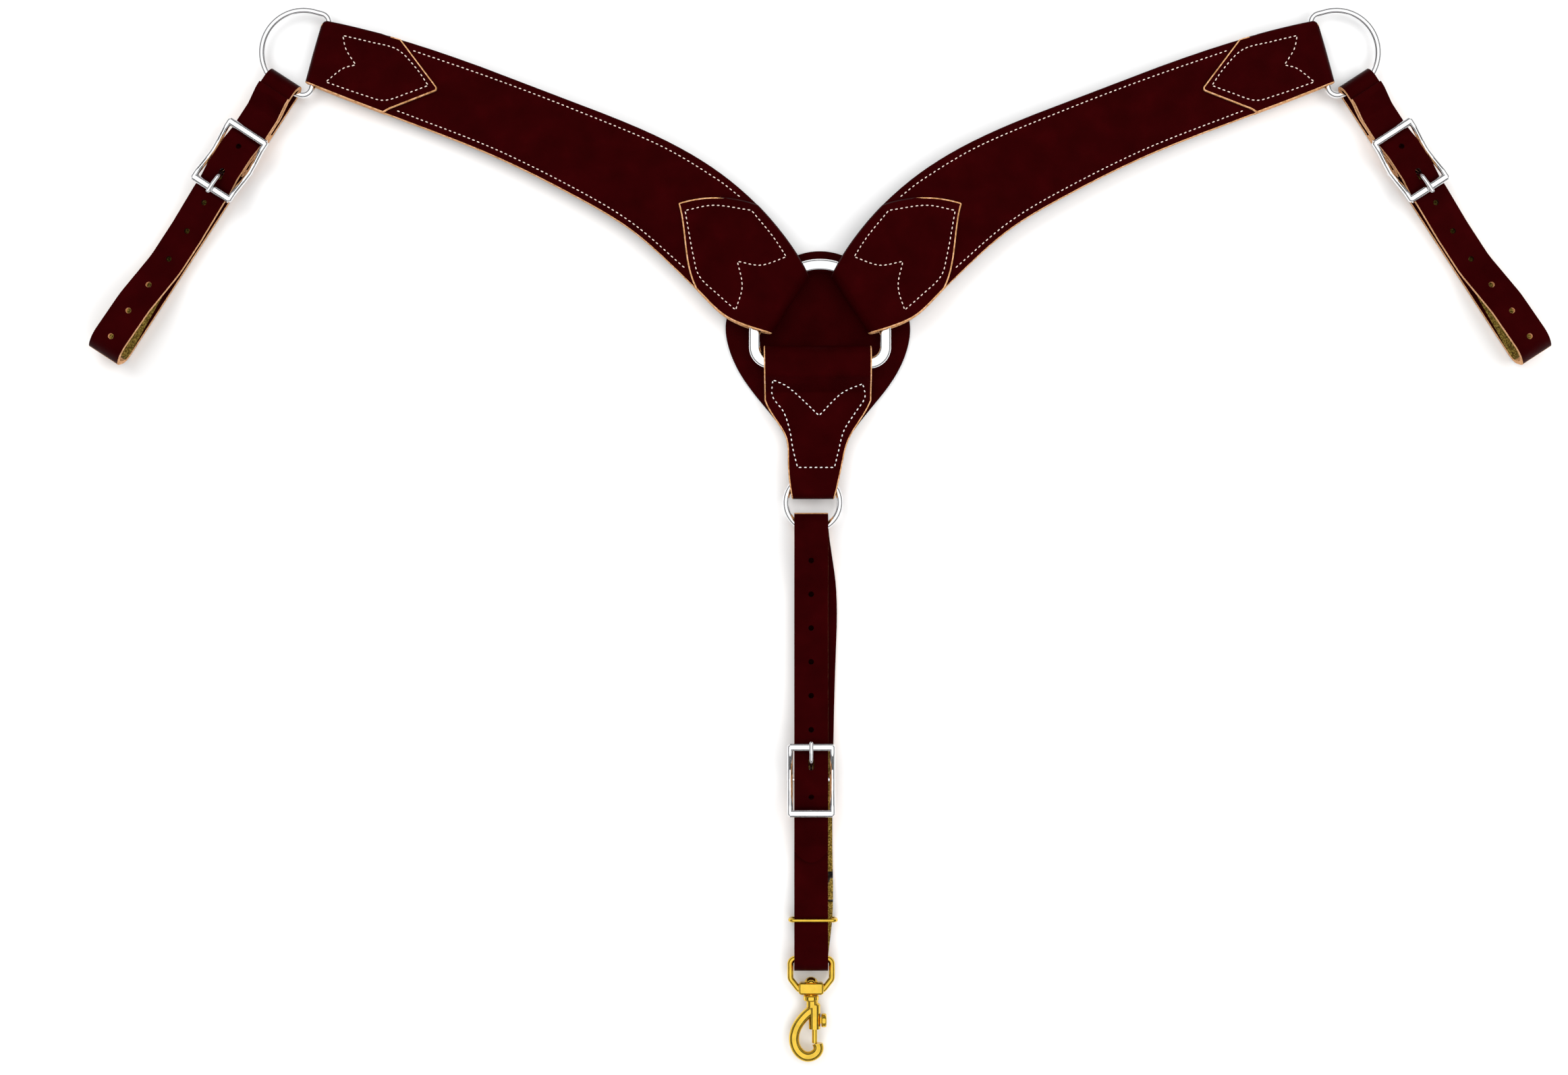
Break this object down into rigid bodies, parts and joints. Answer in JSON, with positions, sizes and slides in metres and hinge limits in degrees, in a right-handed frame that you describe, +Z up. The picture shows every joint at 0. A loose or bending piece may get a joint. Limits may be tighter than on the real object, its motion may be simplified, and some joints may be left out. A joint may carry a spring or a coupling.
{
  "type": "horse breastplate",
  "caption": "Western leather breastplate laid flat: two stitched body straps on a centre ring with shield backing, buckled side tugs on dees, and a buckled centre strap with a swivel bolt snap.",
  "frame": {"origin": "middle of the bounding box, on the table the breastplate lies on", "axes": "+X across the chest towards the right tug in the picture, +Y towards the dees, +Z up off the table, away from the horse's chest"},
  "size_m": [1.0944, 0.7929, 0.0273],
  "materials": {
    "harness_leather": "dark burgundy harness leather, satin grain face, raw tan edges",
    "stitch_thread": "waxed cream thread",
    "chrome_plate": "polished plate",
    "polished_brass": "polished",
    "spring_steel": "bright wire"
  },
  "bodies": {
    "yoke": {"connector": "harness_leather", "connector_stitching": "stitch_thread", "back_shield": "harness_leather"},
    "ring": {"center_ring": "chrome_plate"},
    "left_body_strap": {"left_body_front_ply": "harness_leather", "left_body_lining": "harness_leather", "left_inner_chape": "harness_leather", "left_outer_chape": "harness_leather", "left_body_stitching": "stitch_thread"},
    "left_dee_body": {"left_dee": "chrome_plate"},
    "left_tug": {"left_tug_strap": "harness_leather"},
    "left_tug_buckle": {"left_tug_buckle_frame": "chrome_plate", "left_tug_buckle_bar": "chrome_plate"},
    "left_tug_tongue": {"left_tug_buckle_tongue": "chrome_plate"},
    "right_body_strap": {"right_body_front_ply": "harness_leather", "right_body_lining": "harness_leather", "right_inner_chape": "harness_leather", "right_outer_chape": "harness_leather", "right_body_stitching": "stitch_thread"},
    "right_dee_body": {"right_dee": "chrome_plate"},
    "right_tug": {"right_tug_strap": "harness_leather"},
    "right_tug_buckle": {"right_tug_buckle_frame": "chrome_plate", "right_tug_buckle_bar": "chrome_plate"},
    "right_tug_tongue": {"right_tug_buckle_tongue": "chrome_plate"},
    "small_ring_body": {"small_ring": "chrome_plate"},
    "center_strap_body": {"center_strap": "harness_leather"},
    "center_buckle": {"center_buckle_frame": "chrome_plate", "center_buckle_bar": "chrome_plate"},
    "center_tongue": {"center_buckle_tongue": "chrome_plate"},
    "keeper_body": {"strap_keeper": "polished_brass"},
    "snap_eye_body": {"snap_eye": "polished_brass"},
    "snap_hook": {"snap_hook_body": "polished_brass", "snap_spring": "spring_steel"},
    "plunger": {"snap_plunger": "polished_brass", "snap_thumb_knob": "polished_brass"}
  },
  "joints": [
    {"name": "ring_hinge", "type": "hinge", "parent": "yoke", "child": "ring", "pos_m": [0, 0.1298, 0.014], "axis": [1, 0, 0], "range_deg": [0, 50]},
    {"name": "left_strap_hinge", "type": "hinge", "parent": "ring", "child": "left_body_strap", "pos_m": [-0.0337, 0.1803, 0.014], "axis": [0.5489, 0.8359, 0], "range_deg": [0, 6]},
    {"name": "left_dee_hinge", "type": "hinge", "parent": "left_body_strap", "child": "left_dee_body", "pos_m": [-0.37557, 0.36028, 0.0091], "axis": [0.2588, 0.9659, -0.004], "range_deg": [-1, 60]},
    {"name": "left_tug_hinge", "type": "hinge", "parent": "left_dee_body", "child": "left_tug", "pos_m": [-0.40531, 0.33719, 0.00894], "axis": [-0.8386, 0.5446, -0.0127], "range_deg": [-2, 40]},
    {"name": "left_tug_buckle_tilt", "type": "hinge", "parent": "left_tug", "child": "left_tug_buckle", "pos_m": [-0.4417, 0.28117, 0.0095], "axis": [-0.8386, 0.5446, -0.0127], "range_deg": [-1.2, 1.2]},
    {"name": "left_tug_tongue_lift", "type": "hinge", "parent": "left_tug_buckle", "child": "left_tug_tongue", "pos_m": [-0.4417, 0.28117, 0.0095], "axis": [-0.8386, 0.5446, -0.0127], "range_deg": [0, 6]},
    {"name": "right_strap_hinge", "type": "hinge", "parent": "ring", "child": "right_body_strap", "pos_m": [0.0337, 0.1803, 0.014], "axis": [0.5489, -0.8359, 0], "range_deg": [0, 6]},
    {"name": "right_dee_hinge", "type": "hinge", "parent": "right_body_strap", "child": "right_dee_body", "pos_m": [0.37557, 0.36028, 0.0091], "axis": [0.2588, -0.9659, 0.004], "range_deg": [-1, 60]},
    {"name": "right_tug_hinge", "type": "hinge", "parent": "right_dee_body", "child": "right_tug", "pos_m": [0.40531, 0.33719, 0.00894], "axis": [-0.8386, -0.5446, 0.0127], "range_deg": [-2, 40]},
    {"name": "right_tug_buckle_tilt", "type": "hinge", "parent": "right_tug", "child": "right_tug_buckle", "pos_m": [0.4417, 0.28117, 0.0095], "axis": [-0.8386, -0.5446, 0.0127], "range_deg": [-1.2, 1.2]},
    {"name": "right_tug_tongue_lift", "type": "hinge", "parent": "right_tug_buckle", "child": "right_tug_tongue", "pos_m": [0.4417, 0.28117, 0.0095], "axis": [-0.8386, -0.5446, 0.0127], "range_deg": [0, 6]},
    {"name": "small_ring_turn", "type": "hinge", "parent": "yoke", "child": "small_ring_body", "pos_m": [-0.0053, 0.0252, 0.0096], "axis": [0, 0, 1], "continuous": true},
    {"name": "center_strap_hinge", "type": "hinge", "parent": "yoke", "child": "center_strap_body", "pos_m": [-0.0053, 0.00485, 0.0096], "axis": [-1, 0, 0], "range_deg": [-1, 20]},
    {"name": "center_buckle_tilt", "type": "hinge", "parent": "center_strap_body", "child": "center_buckle", "pos_m": [-0.0066, -0.1828, 0.00945], "axis": [1, 0, 0], "range_deg": [-1.2, 1.2]},
    {"name": "center_tongue_lift", "type": "hinge", "parent": "center_buckle", "child": "center_tongue", "pos_m": [-0.0066, -0.1828, 0.00945], "axis": [1, 0, 0], "range_deg": [0, 6]},
    {"name": "keeper_slide", "type": "slide", "parent": "center_strap_body", "child": "keeper_body", "axis": [0, 1, 0], "range_m": [-0.006, 0.006]},
    {"name": "snap_eye_hinge", "type": "hinge", "parent": "center_strap_body", "child": "snap_eye_body", "pos_m": [-0.0066, -0.3177, 0.008], "axis": [-1, 0, 0], "range_deg": [-3, 50]},
    {"name": "snap_swivel", "type": "hinge", "parent": "snap_eye_body", "child": "snap_hook", "pos_m": [-0.0066, -0.3399, 0.008], "axis": [0, 1, 0], "continuous": true},
    {"name": "snap_plunger_slide", "type": "slide", "parent": "snap_hook", "child": "plunger", "axis": [0, 1, 0], "range_m": [0, 0.0045], "stiffness_N_per_m": 250, "springref_m": -0.004, "deforming": ["snap_spring"]}
  ]
}
